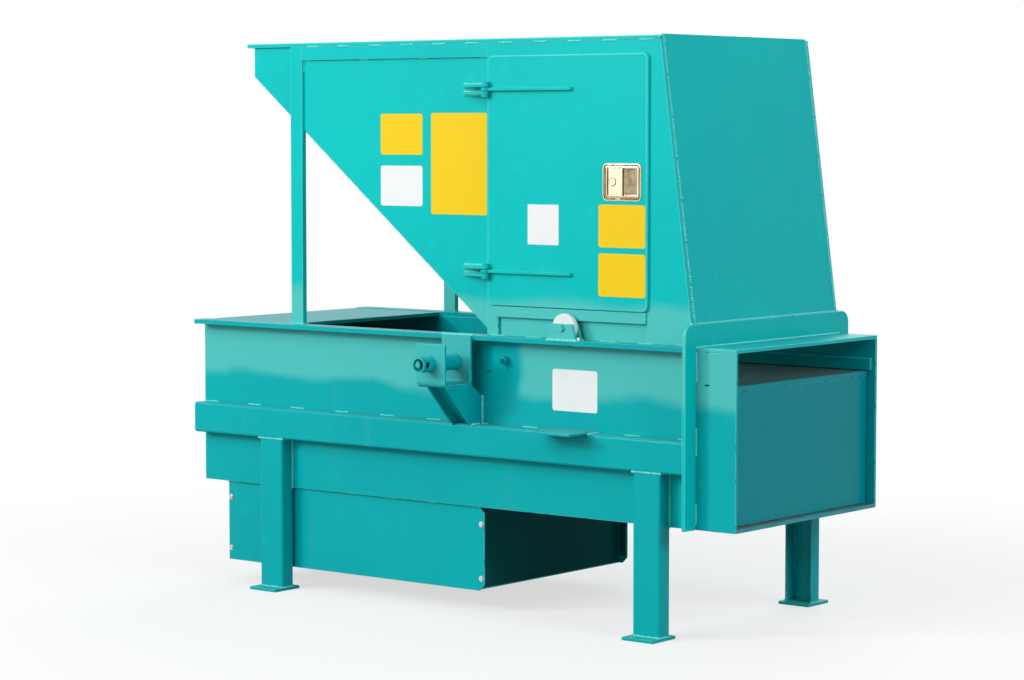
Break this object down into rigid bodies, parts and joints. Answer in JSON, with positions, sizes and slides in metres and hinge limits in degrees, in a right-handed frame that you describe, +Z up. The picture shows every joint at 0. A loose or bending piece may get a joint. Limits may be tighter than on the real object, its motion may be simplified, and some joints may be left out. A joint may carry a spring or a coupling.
{
  "type": "trash compactor",
  "caption": "Stationary trash compactor: sloped hopper with a side access door over a ram chamber on legs, open discharge end and a power unit below.",
  "frame": {"origin": "centre of the four floor anchor holes, on the floor", "axes": "+X towards the discharge end, -Y towards the access door, +Z up"},
  "size_m": [2.204, 1.28, 1.833],
  "materials": {
    "teal_paint": "gloss enamel over welded plate",
    "worn_steel": "bare mill plate, worn",
    "zinc_steel": "zinc plated",
    "polished_latch": "polished",
    "hard_chrome": "ground and plated",
    "white_nylon": "turned",
    "grey_enamel": "satin",
    "cast_pump": "as cast",
    "black_paint": "satin"
  },
  "bodies": {
    "frame": {"chamber_floor": "teal_paint", "chamber_side_far": "teal_paint", "chamber_side_near": "teal_paint", "cylinder_barrel": "black_paint", "discharge_collar": "teal_paint", "door_frame_plate": "teal_paint", "door_hinge_ears": "teal_paint", "door_hinge_pins": "teal_paint", "door_sill": "teal_paint", "foot_plates": "teal_paint", "front_legs": "teal_paint", "hopper_chute_floor": "teal_paint", "hopper_discharge_face": "teal_paint", "hopper_frame_bars": "teal_paint", "hopper_posts": "teal_paint", "hopper_rim": "teal_paint", "hopper_side_far": "teal_paint", "hopper_side_near": "teal_paint", "hydraulic_lines": "black_paint", "hydraulic_pump": "cast_pump", "motor_housing": "grey_enamel", "oil_tank": "black_paint", "pipe_braces": "teal_paint", "pipe_brackets": "teal_paint", "ram_hold_down_bars": "teal_paint", "rear_bulkhead": "teal_paint", "rear_clevis": "teal_paint", "rear_cover": "teal_paint", "rear_legs": "teal_paint", "roller_bolt": "zinc_steel", "roller_bracket": "teal_paint", "shelf_plate": "teal_paint", "side_rails": "teal_paint", "snout_roof": "teal_paint", "top_flanges": "teal_paint", "unit_cover_bolts": "zinc_steel", "unit_covers": "teal_paint", "unit_end_panel": "teal_paint", "unit_tray": "teal_paint", "valve_block": "zinc_steel", "wiper_plate": "teal_paint"},
    "ram": {"ram_face_plate": "teal_paint", "ram_top_plate": "worn_steel", "ram_sides": "teal_paint", "ram_bottom_plate": "teal_paint", "ram_rear_frame": "teal_paint", "ram_shoes": "white_nylon", "ram_clevis_ears": "teal_paint", "ram_clevis_pin": "zinc_steel", "piston_rod": "hard_chrome"},
    "access_door": {"door_panel": "teal_paint", "door_hinge_straps": "teal_paint", "latch_pan": "polished_latch"},
    "latch_paddle": {"latch_paddle": "polished_latch"},
    "key_cylinder": {"latch_key_cylinder": "polished_latch"},
    "latch_tongue": {"latch_tongue": "zinc_steel"},
    "guide_roller": {"guide_roller": "white_nylon"},
    "anchor_pipe_near": {"anchor_pipe_near": "teal_paint"},
    "anchor_pipe_far": {"anchor_pipe_far": "teal_paint"},
    "motor_rotor": {"motor_rotor": "zinc_steel"}
  },
  "joints": [
    {"name": "ram_slide", "type": "slide", "parent": "frame", "child": "ram", "axis": [1, 0, 0], "range_m": [-0.9, 0]},
    {"name": "door_hinge", "type": "hinge", "parent": "frame", "child": "access_door", "pos_m": [0.138, -0.4313, 1.385], "axis": [0, 0, -1], "range_deg": [0, 170]},
    {"name": "paddle_hinge", "type": "hinge", "parent": "access_door", "child": "latch_paddle", "pos_m": [0.6123, -0.4135, 1.386], "axis": [0, 0, -1], "range_deg": [0, 35], "stiffness_Nm_per_rad": 1},
    {"name": "tongue_slide", "type": "slide", "parent": "access_door", "child": "latch_tongue", "axis": [1, 0, 0], "range_m": [-0.0145, 0]},
    {"name": "key_turn", "type": "hinge", "parent": "latch_paddle", "child": "key_cylinder", "pos_m": [0.628, -0.4163, 1.386], "axis": [0, 1, 0], "range_deg": [0, 90]},
    {"name": "roller_spin", "type": "hinge", "parent": "frame", "child": "guide_roller", "pos_m": [0.455, -0.4285, 0.935], "axis": [0, 1, 0], "continuous": true},
    {"name": "pipe_near_slide", "type": "slide", "parent": "frame", "child": "anchor_pipe_near", "axis": [0, -1, 0], "range_m": [0, 0.17]},
    {"name": "pipe_far_slide", "type": "slide", "parent": "frame", "child": "anchor_pipe_far", "axis": [0, 1, 0], "range_m": [0, 0.17]},
    {"name": "motor_spin", "type": "hinge", "parent": "frame", "child": "motor_rotor", "pos_m": [-0.418, 0, 0.19], "axis": [1, 0, 0], "continuous": true}
  ],
  "couplings": [
    {"joint": "tongue_slide", "follows": "paddle_hinge", "m_per_rad": -0.0229}
  ]
}
